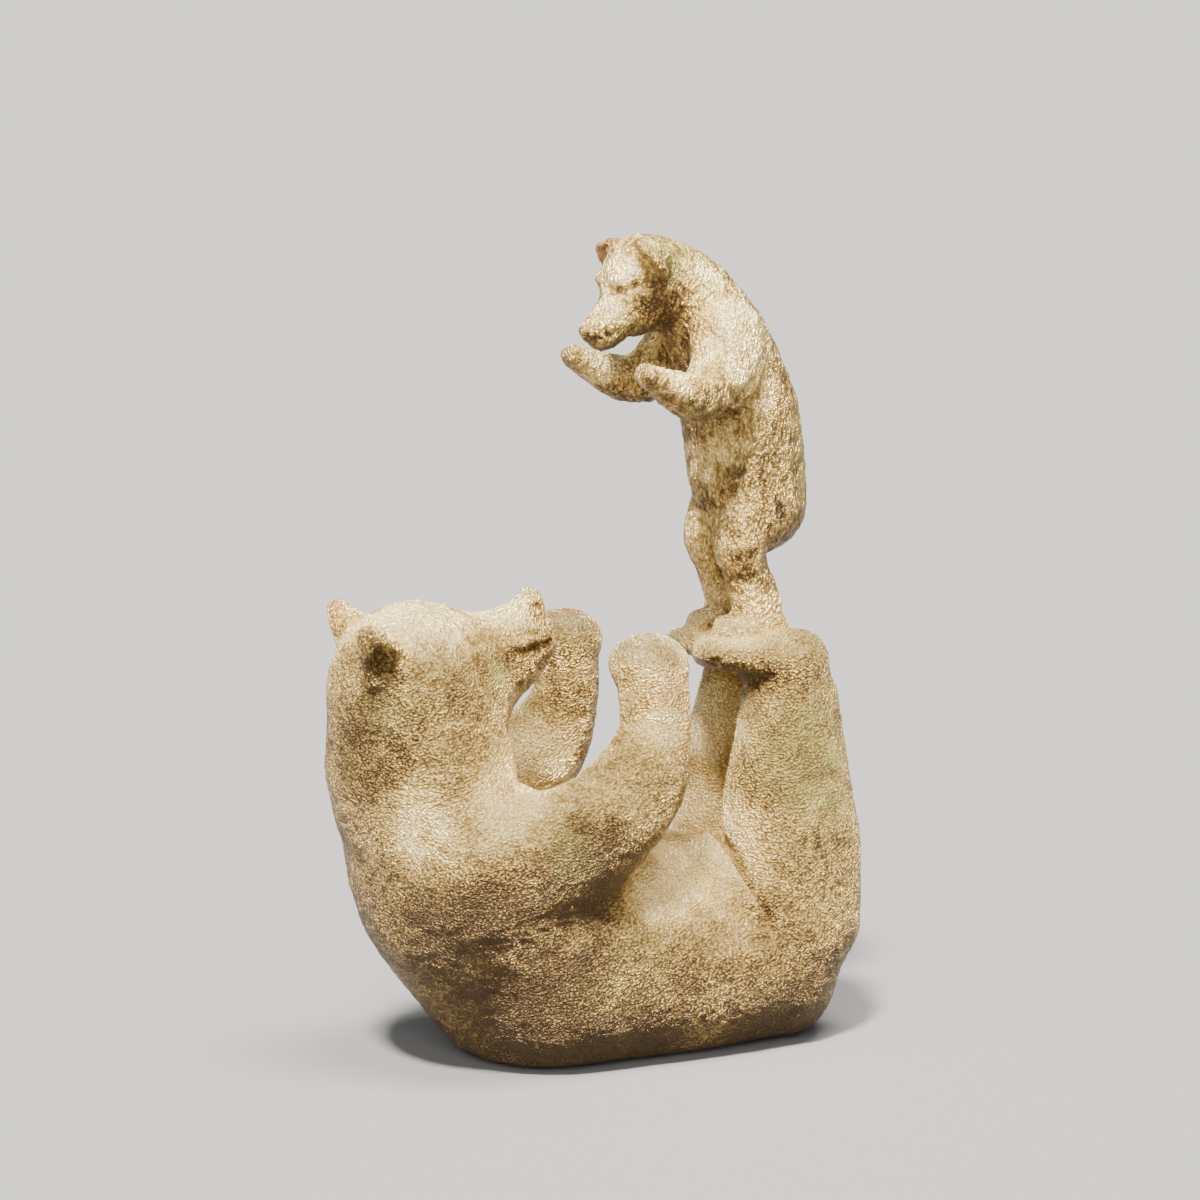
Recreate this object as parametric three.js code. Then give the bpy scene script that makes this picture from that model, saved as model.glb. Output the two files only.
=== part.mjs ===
// A cast bronze group: a mother bear lies on her back, rocks upright on it and balances her cub
// on the soles of her hind feet. Mother and cub are one casting, so the group is one solid.
//
// Millimetres, +Z up. The mother's head is towards -X and her hind feet towards +X, and the cub
// faces her. The origin is on the flat underside, below the middle of the mother's body.
//
// The forms are swept limbs of oval section and rounded lumps, run together by a soft join as
// wax is on a model. The surface of the whole is traced on a grid, and the faces that it can
// spare are then taken out of it.
import * as THREE from 'three'

// Driving sizes
const bearHeight = 127 // ground to the top of the soles of the hind feet
const cubHeight = 123 // those soles to the crown of the cub
const cellSize = 1.9 // cell of the grid that the skin is first traced on
const faceCount = 9200 // triangles left once the skin is simplified
const undersideRound = 5 // soft edge between the flat underside and the back

// Heights that the stations are drawn at
const drawnBearHeight = 127
const drawnCubHeight = 123
const bear = bearHeight / drawnBearHeight
const cub = cubHeight / drawnCubHeight

// Pose: places in the frame of the body, turns as roll, pitch and yaw in degrees
const headPlace = [-78, 0, 119]
const headTurn = [10, -20, -11]
const farEarShift = [2.5, -0.5, -6]
const farArmShift = [10.6, 0, 0.1]
const farArmLean = -0.068 // sideways for each millimetre of height
const farLegShift = [5, -4, 1]
const cubPlace = [34, 0, 127.5]
const cubHeadPlace = [-33, 0, 108]
const cubHeadTurn = [0, 38, 180]
const cubFarArmShift = [2, -1.5, 1.8]
const cubFarLegShift = [0.4, 0, 0]
const cubNearEarShift = [0, 2.5, 1.5] // on +Y of its head, as the cub looks the other way

const stepsPerSpan = 5
const rad = THREE.MathUtils.degToRad

// A frame that stations are drawn in: its scale, its origin and how it is turned.
function frame(scale, place = [0, 0, 0], turn = [0, 0, 0], parent = new THREE.Matrix4()) {
  const spin = new THREE.Quaternion().setFromEuler(new THREE.Euler(...turn.map(rad), 'ZYX'))
  const local = new THREE.Matrix4().compose(new THREE.Vector3(...place), spin, new THREE.Vector3(1, 1, 1))
  return parent.clone().multiply(local).scale(new THREE.Vector3(scale, scale, scale))
}

// A limb: a smooth run of stations [x, y, z, half width, half depth]. The width is measured
// sideways, along the frame's Y, and the depth across both that and the run.
function limb(matrix, blend, stations) {
  const scale = matrix.getMaxScaleOnAxis()
  const line = new THREE.CatmullRomCurve3(stations.map(([x, y, z]) => new THREE.Vector3(x, y, z)))
  const spans = stations.length - 1
  const samples = []
  for (let i = 0; i <= spans * stepsPerSpan; i++) {
    const t = i / stepsPerSpan
    const at = Math.min(Math.floor(t), spans - 1)
    const mix = (k) => THREE.MathUtils.lerp(stations[at][k], stations[at + 1][k], t - at)
    samples.push({ point: line.getPoint(t / spans), wide: mix(3), deep: mix(4) })
  }
  const side = new THREE.Vector3(0, 1, 0)
  const pieces = samples.slice(1).map((end, i) => {
    const start = samples[i]
    const along = end.point.clone().sub(start.point).normalize()
    const across = side.clone().addScaledVector(along, -along.y).normalize()
    const over = along.clone().cross(across)
    return {
      start: start.point.clone().applyMatrix4(matrix),
      end: end.point.clone().applyMatrix4(matrix),
      along: along.transformDirection(matrix),
      across: across.transformDirection(matrix),
      over: over.transformDirection(matrix),
      wide: [start.wide * scale, end.wide * scale],
      deep: [start.deep * scale, end.deep * scale],
    }
  })
  const reach = Math.max(...samples.flatMap((s) => [s.wide, s.deep])) * scale
  const box = new THREE.Box3().setFromPoints(pieces.flatMap((p) => [p.start, p.end]))
  return { pieces, blend: blend * scale, box: box.expandByScalar(reach) }
}

// A rounded lump at a place, with three half sizes.
function lump(matrix, blend, place, sizes) {
  const scale = matrix.getMaxScaleOnAxis()
  const centre = new THREE.Vector3(...place).applyMatrix4(matrix)
  const axes = [0, 1, 2].map((k) => new THREE.Vector3().setComponent(k, 1).transformDirection(matrix))
  const half = sizes.map((s) => s * scale)
  const box = new THREE.Box3(centre.clone(), centre.clone()).expandByScalar(Math.max(...half))
  return { centre, axes, half, blend: blend * scale, box }
}

// A limb or lump that is pressed into the surface and not laid on it.
const pressed = (form) => ({ ...form, pressed: true })

// The same thing on both sides: the near one at -Y and the far one at +Y, which may be shifted
// and lean by so much for each millimetre of height.
function mirrored(make, shift = [0, 0, 0], lean = 0) {
  const near = ([x, y, z, ...sizes]) => [x, -y, z, ...sizes]
  const far = ([x, y, z, ...sizes]) => [x + shift[0] + lean * z, y + shift[1], z + shift[2], ...sizes]
  return [near, far].flatMap(make)
}

// The mother, from her back on the ground to her head, paws and the soles of her hind feet.
function bearForms() {
  const body = frame(bear)
  const head = frame(1, headPlace, headTurn, body)
  const trunk = [
    [36, 0, 36, 38, 25],
    [12, 0, 30, 41, 30],
    [-20, 0, 35, 42, 35],
    [-43, 0, 43, 42, 39.2],
    [-60, 0, 55.5, 39.3, 34],
    [-72, 0, 73.5, 36, 25.8],
    [-77, 0, 94, 31, 28],
    [-78, 0, 112, 25, 25],
  ]
  const back = [
    [-39.5, 0, 18.5, 36, 25.3],
    [36, 0, 20, 39, 26.5],
  ]
  const arm = [
    [-70, 28, 60, 14, 20],
    [-54, 34, 69, 14, 19],
    [-35, 36, 77, 14, 17],
    [-20.5, 34, 88.5, 13, 14.8],
    [-13.3, 31, 103, 10.8, 10.5],
    [-13, 28.5, 120.5, 11.2, 10.4],
  ]
  const leg = [
    [40, 22, 38, 18, 25],
    [42, 21, 60, 18, 23],
    [41.5, 20, 75, 17, 21.5],
    [42, 19.5, 90, 15, 18.5],
    [43.3, 18, 106, 13, 16],
  ]
  const foot = [
    [45.5, 18.5, 118.6, 12, 9.5],
    [32, 14.5, 120, 12.5, 7],
    [18.5, 9.5, 121.5, 11.5, 4.5],
  ]
  const bellyEdge = [
    [20, 1, 58, 4, 4],
    [14, 16, 59, 4, 4],
    [13.5, 24, 54.5, 4.5, 4.5],
    [15, 30, 47.5, 5, 5],
  ]
  const groin = [
    [26, 1, 59, 2, 2],
    [19, 17, 62, 2.2, 2.2],
    [18, 26, 57, 2.2, 2.2],
    [19.5, 32.5, 50, 2.2, 2.2],
    [24, 38, 42.5, 1.6, 1.6],
    [30, 42, 37, 0.8, 0.8],
  ]
  const ear = [
    [-12, 16.5, 14, 4.5, 6.5],
    [-12.6, 18, 21, 4.2, 5.9],
    [-13.6, 19.3, 26, 3.6, 4.4],
    [-15, 20, 30, 2.4, 2.4],
  ]
  const muzzle = [
    [8, 0, -5, 18, 19],
    [20, 0, -3.5, 13.5, 15.8],
    [29, 0, -2, 11, 14],
    [36.5, 0, 0.5, 8.5, 11.5],
  ]
  return [
    limb(body, 4, trunk),
    limb(body, 12, back),
    lump(body, 6, [48, -2, 45], [18, 18, 23]),
    lump(body, 3, [65, -2, 30], [4.5, 5, 6]),
    ...mirrored((side) => limb(body, 9, arm.map(side)), farArmShift, farArmLean),
    ...mirrored((side) => lump(body, 4, side([-14, 28, 124]), [12, 11, 8]), farArmShift, farArmLean),
    ...mirrored((side) => limb(body, 6, leg.map(side)), farLegShift),
    ...mirrored((side) => limb(body, 5, foot.map(side)), farLegShift),
    ...mirrored((side) => limb(body, 4, bellyEdge.map(side))),
    ...mirrored((side) => pressed(limb(body, 3, groin.map(side)))),
    lump(head, 8, [-1, 0, 0], [25, 24, 25]),
    limb(head, 7, muzzle),
    lump(head, 3, [41, 0, 9.5], [3.8, 5.5, 4.5]),
    ...mirrored((side) => limb(head, 3, ear.map(side)), farEarShift),
    ...mirrored((side) => pressed(lump(head, 1.5, side([-12.3, 21.5, 19.5]), [3.9, 3.4, 6])), farEarShift),
  ]
}

// The cub, from its feet on those soles to its head.
function cubForms() {
  const body = frame(cub, cubPlace.map((v) => v * bear))
  const head = frame(1, cubHeadPlace, cubHeadTurn, body)
  const trunk = [
    [6, 0, 37, 15, 16.5],
    [4, 0, 50, 17.5, 18.5],
    [1.2, 0, 66, 17.5, 18.5],
    [-4.5, 0, 84, 17, 16.3],
    [-13, 0, 99, 14.5, 14],
    [-24, 0, 108, 12.8, 13],
  ]
  const arm = [
    [-11, 13, 94, 9, 12],
    [-14, 17, 83, 9, 12],
    [-26, 21.5, 75.2, 7.5, 7.6],
    [-36, 23.5, 77.6, 6.5, 5.9],
    [-46, 25, 82.8, 5.5, 3.4],
  ]
  const leg = [
    [5, 8.5, 40, 9, 13],
    [-3.5, 9, 28, 8, 9],
    [-1.2, 8.7, 18.5, 6.5, 6.8],
    [3, 8.5, 7, 6.5, 8],
  ]
  const foot = [
    [8, 8.5, 1, 6.5, 4.5],
    [-7.5, 8, 1, 6.5, 3.6],
  ]
  const muzzle = [
    [5, 0, -3, 10, 10],
    [13, 0, -1.6, 7.5, 7.4],
    [20.2, 0, -1.8, 5.5, 6],
  ]
  return [
    limb(body, 3, trunk),
    lump(body, 5, [7.2, 0, 40.2], [13.9, 15, 14.2]),
    lump(body, 2, [23, 0, 37], [2.5, 3.5, 3.5]),
    ...mirrored((side) => limb(body, 3, arm.map(side)), cubFarArmShift),
    ...mirrored((side) => limb(body, 3, leg.map(side)), cubFarLegShift),
    ...mirrored((side) => limb(body, 3, foot.map(side)), cubFarLegShift),
    lump(head, 4, [-0.8, 0, 1], [13.7, 13, 13.9]),
    limb(head, 3, muzzle),
    ...mirrored((side) => lump(head, 1.5, side([-3.4, 10, 7.8]), [3, 5.5, 6.6]), cubNearEarShift),
    ...mirrored((side) => pressed(lump(head, 1.5, side([-0.2, 12, 7.8]), [2.4, 3.4, 4.4])), cubNearEarShift),
  ]
}

// How far a point, given along three axes, lies outside an ellipsoid of those half sizes.
function outside(u, v, w, a, b, c) {
  const [x, y, z] = [u / a, v / b, w / c]
  const [dx, dy, dz] = [x / a, y / b, z / c]
  const share = Math.sqrt(x * x + y * y + z * z)
  const slope = Math.sqrt(dx * dx + dy * dy + dz * dz)
  return slope < 1e-9 ? -Math.min(a, b, c) : (share * (share - 1)) / slope
}

function distanceToLump(form, x, y, z) {
  const q = [x - form.centre.x, y - form.centre.y, z - form.centre.z]
  const along = form.axes.map((n) => q[0] * n.x + q[1] * n.y + q[2] * n.z)
  return outside(...along, ...form.half)
}

function distanceToLimb(form, x, y, z) {
  let nearest = Infinity
  for (const p of form.pieces) {
    const dx = p.end.x - p.start.x
    const dy = p.end.y - p.start.y
    const dz = p.end.z - p.start.z
    const px = x - p.start.x
    const py = y - p.start.y
    const pz = z - p.start.z
    const t = THREE.MathUtils.clamp((px * dx + py * dy + pz * dz) / (dx * dx + dy * dy + dz * dz), 0, 1)
    const qx = px - t * dx
    const qy = py - t * dy
    const qz = pz - t * dz
    const wide = p.wide[0] + t * (p.wide[1] - p.wide[0])
    const deep = p.deep[0] + t * (p.deep[1] - p.deep[0])
    if (Math.sqrt(qx * qx + qy * qy + qz * qz) - Math.max(wide, deep) > nearest) continue
    const u = qx * p.across.x + qy * p.across.y + qz * p.across.z
    const v = qx * p.over.x + qy * p.over.y + qz * p.over.z
    const w = qx * p.along.x + qy * p.along.y + qz * p.along.z
    nearest = Math.min(nearest, outside(u, v, w, wide, deep, Math.min(wide, deep)))
  }
  return nearest
}

// The soft join of two distances: they run together where they differ by less than blend.
function join(a, b, blend) {
  const h = Math.max(0, blend - Math.abs(a - b)) / blend
  return Math.min(a, b) - (h * h * blend) / 4
}

// The whole group as one distance, negative inside and cut off flat at the ground.
function groupDistance(forms) {
  const probe = new THREE.Vector3()
  return (x, y, z) => {
    let d = 1e3
    probe.set(x, y, z)
    for (const form of forms) {
      const away = form.box.distanceToPoint(probe) - form.blend
      if (form.pressed ? away > 0 : away > d) continue
      const own = form.pieces ? distanceToLimb(form, x, y, z) : distanceToLump(form, x, y, z)
      d = form.pressed ? -join(-d, own, form.blend) : join(d, own, form.blend)
    }
    return -join(-d, z, undersideRound)
  }
}

// Calls visit(i, j, k) for every whole step from 0 up to the three counts.
function everyCell([ni, nj, nk], visit) {
  for (let k = 0; k < nk; k++) {
    for (let j = 0; j < nj; j++) {
      for (let i = 0; i < ni; i++) visit(i, j, k)
    }
  }
}

// Samples a distance on a grid. Blocks of the grid that are far from the surface are filled
// with the distance of their middle.
function sampleGrid(distance, box, cell) {
  const low = box.min
  const size = box.getSize(new THREE.Vector3()).divideScalar(cell).ceil().toArray().map((n) => n + 1)
  const block = 4
  const values = new Float64Array(size[0] * size[1] * size[2])
  const at = (i, j, k) => (k * size[1] + j) * size[0] + i
  const sample = (i, j, k) => distance(low.x + i * cell, low.y + j * cell, low.z + k * cell)
  everyCell(size.map((n) => Math.ceil(n / block)), (...corner) => {
    const [i, j, k] = corner.map((n) => n * block)
    const middle = sample(i + block / 2, j + block / 2, k + block / 2)
    const near = Math.abs(middle) < block * cell * 1.3
    const span = [i, j, k].map((n, axis) => Math.min(block, size[axis] - n))
    everyCell(span, (a, b, c) => {
      values[at(i + a, j + b, k + c)] = near ? sample(i + a, j + b, k + c) : middle
    })
  })
  return { values, size, at }
}

// Fills a corner of each grid face that has inside and outside corners across from each other,
// as the skin would pinch there and meet itself along a line.
function fillPinches({ values, size, at }) {
  const steps = [at(1, 0, 0), at(0, 1, 0), at(0, 0, 1)]
  const rings = steps.map((u, axis) => [0, u, u + steps[(axis + 1) % 3], steps[(axis + 1) % 3]])
  let filled = 1
  while (filled > 0) {
    filled = 0
    everyCell(size.map((n) => n - 1), (i, j, k) => {
      const corner = at(i, j, k)
      for (const [p, q, r, s] of rings) {
        const [a, b] = [values[corner + p] < 0, values[corner + q] < 0]
        if (a === b || a !== values[corner + r] < 0 || b !== values[corner + s] < 0) continue
        const [m, n] = a ? [corner + q, corner + s] : [corner + p, corner + r]
        values[values[m] < values[n] ? m : n] = -1e-3
        filled++
      }
    })
  }
}

// Traces the zero of a distance on a grid: one point in each cell that the surface crosses,
// drawn onto the surface, and one quad across each grid edge that it crosses.
function traceSkin(distance, box, cell) {
  const grid = sampleGrid(distance, box, cell)
  fillPinches(grid)
  const { values, size, at } = grid
  const corners = []
  everyCell([2, 2, 2], (...corner) => corners.push(corner))
  const apart = (p, q) => p.reduce((sum, n, axis) => sum + Math.abs(n - q[axis]), 0)
  const edges = corners.flatMap((p, m) => corners.slice(m + 1).map((q) => [p, q]))
  const cellEdges = edges.filter(([p, q]) => apart(p, q) === 1)

  const points = []
  const pointOf = new Int32Array(values.length).fill(-1)
  everyCell(size.map((n) => n - 1), (i, j, k) => {
    const sum = new THREE.Vector3()
    let crossings = 0
    for (const [p, q] of cellEdges) {
      const a = values[at(i + p[0], j + p[1], k + p[2])]
      const b = values[at(i + q[0], j + q[1], k + q[2])]
      if (a < 0 === b < 0) continue
      sum.add(new THREE.Vector3(...p).lerp(new THREE.Vector3(...q), a / (a - b)))
      crossings++
    }
    if (crossings === 0) return
    pointOf[at(i, j, k)] = points.length
    points.push(sum.divideScalar(crossings).add(new THREE.Vector3(i, j, k)).multiplyScalar(cell).add(box.min))
  })
  points.forEach((p) => settle(distance, p, cell))

  const faces = []
  const steps = [[1, 0, 0], [0, 1, 0], [0, 0, 1]]
  const ringSteps = [[0, 0], [1, 0], [1, 1], [0, 1]]
  everyCell(size.map((n) => n - 2), (...low) => {
    const cellAt = low.map((n) => n + 1)
    const inside = values[at(...cellAt)] < 0
    steps.forEach((step, axis) => {
      if (inside === values[at(...cellAt.map((n, d) => n + step[d]))] < 0) return
      const [u, v] = [steps[(axis + 1) % 3], steps[(axis + 2) % 3]]
      const ring = ringSteps.map(([m, n]) => pointOf[at(...cellAt.map((c, d) => c - m * u[d] - n * v[d]))])
      if (!inside) ring.reverse()
      const [p, q, r, s] = ring
      const shortFirst = points[p].distanceTo(points[r]) < points[q].distanceTo(points[s])
      if (shortFirst) faces.push([p, q, r], [p, r, s])
      else faces.push([q, r, s], [q, s, p])
    })
  })
  return { points, faces }
}

// Moves a point along the slope of the distance until it is on the surface.
function settle(distance, p, cell) {
  const nudge = cell * 0.02
  for (let turn = 0; turn < 2; turn++) {
    const d = distance(p.x, p.y, p.z)
    const slope = new THREE.Vector3(
      distance(p.x + nudge, p.y, p.z) - d,
      distance(p.x, p.y + nudge, p.z) - d,
      distance(p.x, p.y, p.z + nudge) - d,
    ).divideScalar(nudge)
    const step = THREE.MathUtils.clamp(-d / Math.max(slope.lengthSq(), 0.1), -cell / 2, cell / 2)
    p.addScaledVector(slope, step)
  }
  if (Math.abs(p.z) < 1e-6) p.z = 0
}

// A queue that gives back the cheapest entry first.
class CheapestFirst {
  entries = []

  add(entry) {
    const { entries } = this
    let at = entries.length
    entries.push(entry)
    while (at > 0) {
      const parent = (at - 1) >> 1
      if (entries[parent].cost <= entry.cost) break
      entries[at] = entries[parent]
      at = parent
    }
    entries[at] = entry
  }

  take() {
    const { entries } = this
    const first = entries[0]
    const last = entries.pop()
    let at = 0
    while (entries.length > 0) {
      let child = 2 * at + 1
      if (child >= entries.length) break
      if (child + 1 < entries.length && entries[child + 1].cost < entries[child].cost) child++
      if (entries[child].cost >= last.cost) break
      entries[at] = entries[child]
      at = child
    }
    if (entries.length > 0) entries[at] = last
    return first
  }
}

// The sum of squared distances to planes, as a 3 by 3 matrix, a vector and a number.
class Planes {
  matrix = [0, 0, 0, 0, 0, 0]
  vector = new THREE.Vector3()
  number = 0

  addPlane(normal, constant, weight) {
    const { x, y, z } = normal
    const products = [x * x, x * y, x * z, y * y, y * z, z * z]
    this.matrix = this.matrix.map((m, i) => m + weight * products[i])
    this.vector.addScaledVector(normal, weight * constant)
    this.number += weight * constant * constant
  }

  plus(other) {
    const sum = new Planes()
    sum.matrix = this.matrix.map((m, i) => m + other.matrix[i])
    sum.vector.addVectors(this.vector, other.vector)
    sum.number = this.number + other.number
    return sum
  }

  errorAt({ x, y, z }) {
    const [xx, xy, xz, yy, yz, zz] = this.matrix
    const squares = xx * x * x + yy * y * y + zz * z * z
    const mixed = xy * x * y + xz * x * z + yz * y * z
    return squares + 2 * mixed + 2 * (this.vector.x * x + this.vector.y * y + this.vector.z * z) + this.number
  }

  // The place with the least error, held softly to a start where the planes leave it free.
  bestNear(start) {
    const [xx, xy, xz, yy, yz, zz] = this.matrix
    const hold = (xx + yy + zz) * 2e-3 + 1e-12
    const held = new THREE.Matrix3().set(xx + hold, xy, xz, xy, yy + hold, yz, xz, yz, zz + hold)
    const wanted = start.clone().multiplyScalar(hold).sub(this.vector)
    return wanted.applyMatrix3(held.invert())
  }
}

// Takes faces out of a closed skin until the wanted number is left: the edge whose removal moves
// the skin least is drawn together to one point, over and over. The flat underside stays flat.
function simplify({ points, faces }, wanted) {
  const places = points.map((p) => p.clone())
  const skin = faces.map((face) => [...face])
  const around = places.map(() => new Set())
  const planes = places.map(() => new Planes())
  const version = places.map(() => 0)
  const queue = new CheapestFirst()
  const normalOf = ([a, b, c]) => {
    const ab = places[b].clone().sub(places[a])
    return ab.cross(places[c].clone().sub(places[a]))
  }
  skin.forEach((face, index) => {
    const normal = normalOf(face)
    const weight = normal.length()
    normal.normalize()
    face.forEach((p) => {
      around[p].add(index)
      planes[p].addPlane(normal, -normal.dot(places[face[0]]), weight)
    })
  })

  const meetingPoint = (a, b, sum) => {
    const [pa, pb] = [places[a], places[b]]
    if (pa.z === 0 && pb.z > 0) return pa.clone()
    if (pb.z === 0 && pa.z > 0) return pb.clone()
    const best = sum.bestNear(pa.clone().lerp(pb, 0.5))
    best.z = pa.z === 0 ? 0 : Math.max(best.z, 0)
    return best
  }
  const enqueue = (a, b) => {
    const sum = planes[a].plus(planes[b])
    const place = meetingPoint(a, b, sum)
    const reach = places[a].distanceToSquared(places[b])
    const cost = Math.max(0, sum.errorAt(place)) + 1e-3 * reach
    queue.add({ cost, a, b, place, seen: version[a] + version[b] })
  }
  const neighbours = (p) => {
    const found = new Set([...around[p]].flatMap((index) => skin[index]))
    found.delete(p)
    return found
  }
  const turnsOver = (p, other, place) => [...around[p]].some((index) => {
    const face = skin[index]
    if (face.includes(other)) return false
    const before = normalOf(face)
    const kept = places[p]
    places[p] = place
    const after = normalOf(face)
    places[p] = kept
    return after.dot(before) < 0.3 * after.length() * before.length() || after.length() < 0.02
  })

  places.forEach((_, p) => neighbours(p).forEach((q) => p < q && enqueue(p, q)))
  let left = skin.length
  while (left > wanted) {
    const { a, b, place, seen } = queue.take()
    if (version[a] < 0 || version[b] < 0 || seen !== version[a] + version[b]) continue
    const shared = [...neighbours(a)].filter((p) => around[p].size > 0 && neighbours(b).has(p))
    if (shared.length !== 2 || turnsOver(a, b, place) || turnsOver(b, a, place)) continue
    planes[a] = planes[a].plus(planes[b])
    places[a] = place
    around[b].forEach((index) => {
      const face = skin[index]
      if (face.includes(a)) {
        face.forEach((p) => around[p].delete(index))
        face.length = 0
        left--
        return
      }
      face[face.indexOf(b)] = a
      around[a].add(index)
    })
    version[b] = -Infinity
    version[a]++
    neighbours(a).forEach((p) => enqueue(a, p))
  }

  const used = new Map()
  const indexOf = (p) => {
    if (!used.has(p)) used.set(p, used.size)
    return used.get(p)
  }
  const kept = skin.filter((face) => face.length > 0).map((face) => face.map(indexOf))
  return { points: [...used.keys()].map((p) => places[p]), faces: kept }
}

const forms = [...bearForms(), ...cubForms()]
const bounds = forms.reduce((box, form) => box.union(form.box), new THREE.Box3())
bounds.min.z = -0.5 * cellSize
bounds.expandByScalar(2 * cellSize)
const skin = simplify(traceSkin(groupDistance(forms), bounds, cellSize), faceCount)

const geometry = new THREE.BufferGeometry()
geometry.setAttribute('position', new THREE.Float32BufferAttribute(skin.points.flatMap((p) => p.toArray()), 3))
geometry.setIndex(skin.faces.flat())
geometry.computeVertexNormals()

const bronze = new THREE.MeshStandardMaterial({ color: 0xb59b6a, roughness: 0.5, metalness: 0.7 })
const bearAndCub = new THREE.Mesh(geometry, bronze)
bearAndCub.name = 'bear_and_cub'

const group = new THREE.Group()
group.add(bearAndCub)
export default group
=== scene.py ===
"""A cast bronze group with a pale gold patina: a mother bear on her back balances her cub.

The group is one piece. Its forms are the swept limbs and lumps of the solid, run together in the
same way, and traced finely enough to carry the modeller's touch: the folds, the ears, the muzzles,
the lumps and the strokes. Millimetres are used for the forms and metres for the scene.
"""
import math

import bpy
import numpy as np
from mathutils import Euler, Matrix, Vector


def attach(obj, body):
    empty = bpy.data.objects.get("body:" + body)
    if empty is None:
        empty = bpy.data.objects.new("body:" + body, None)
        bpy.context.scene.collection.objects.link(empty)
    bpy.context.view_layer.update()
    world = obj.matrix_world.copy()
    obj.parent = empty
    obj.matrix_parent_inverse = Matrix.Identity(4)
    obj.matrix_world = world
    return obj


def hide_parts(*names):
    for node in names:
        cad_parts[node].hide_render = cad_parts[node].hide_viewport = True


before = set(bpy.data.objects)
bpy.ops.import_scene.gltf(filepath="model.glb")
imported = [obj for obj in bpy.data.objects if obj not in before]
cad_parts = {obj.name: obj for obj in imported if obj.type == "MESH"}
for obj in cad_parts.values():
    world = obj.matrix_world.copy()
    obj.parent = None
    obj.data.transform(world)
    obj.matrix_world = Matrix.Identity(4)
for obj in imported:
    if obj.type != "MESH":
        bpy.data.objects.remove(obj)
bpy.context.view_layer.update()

MM = 0.001

# Driving sizes, in millimetres
BEAR_HEIGHT = 127.0      # ground to the top of the soles of the hind feet
CUB_HEIGHT = 123.0       # those soles to the crown of the cub
UNDERSIDE_ROUND = 5.0    # soft edge between the flat underside and the back
TRACE_CELL = 0.95
MOST_TRIANGLES = 196000

# Heights that the stations are drawn at
DRAWN_BEAR_HEIGHT = 127.0
DRAWN_CUB_HEIGHT = 123.0
BEAR = BEAR_HEIGHT / DRAWN_BEAR_HEIGHT
CUB = CUB_HEIGHT / DRAWN_CUB_HEIGHT

# Pose: places in the frame of the body, turns as roll, pitch and yaw in degrees
HEAD_PLACE = (-78, 0, 119)
HEAD_TURN = (10, -20, -11)
FAR_EAR_SHIFT = (2.5, -0.5, -6)
FAR_ARM_SHIFT = (10.6, 0, 0.1)
FAR_ARM_LEAN = -0.068    # sideways for each millimetre of height
FAR_LEG_SHIFT = (5, -4, 1)
CUB_PLACE = (34, 0, 127.5)
CUB_HEAD_PLACE = (-33, 0, 108)
CUB_HEAD_TURN = (0, 38, 180)
CUB_FAR_ARM_SHIFT = (2, -1.5, 1.8)
CUB_FAR_LEG_SHIFT = (0.4, 0, 0)
CUB_NEAR_EAR_SHIFT = (0, 2.5, 1.5)     # on +Y of its head, as the cub looks the other way

STEPS_PER_SPAN = 5
FAR = 1e3


# Forms

def place_frame(scale, place=(0, 0, 0), turn=(0, 0, 0), parent=Matrix()):
    """A frame that stations are drawn in: its scale, its origin and how it is turned."""
    spin = Euler([math.radians(t) for t in turn], "XYZ").to_matrix().to_4x4()
    return parent @ Matrix.Translation(place) @ spin @ Matrix.Scale(scale, 4)


def centripetal_point(points, t):
    """The point at t, from 0 to 1, of a centripetal Catmull-Rom curve through the points."""
    last = len(points) - 1
    at = min(int(t * last + 1e-9), last - 1)
    weight = t * last - at
    p1 = points[at]
    p2 = points[at + 1]
    p0 = points[at - 1] if at > 0 else 2 * p1 - p2
    p3 = points[at + 2] if at + 2 <= last else 2 * p2 - p1
    d0, d1, d2 = [(b - a).length_squared ** 0.25 for a, b in ((p0, p1), (p1, p2), (p2, p3))]
    m1 = ((p1 - p0) / d0 - (p2 - p0) / (d0 + d1) + (p2 - p1) / d1) * d1
    m2 = ((p2 - p1) / d1 - (p3 - p1) / (d1 + d2) + (p3 - p2) / d2) * d1
    square = weight * weight
    cube = square * weight
    return (p1 * (2 * cube - 3 * square + 1) + m1 * (cube - 2 * square + weight)
            + p2 * (3 * square - 2 * cube) + m2 * (cube - square))


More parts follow.
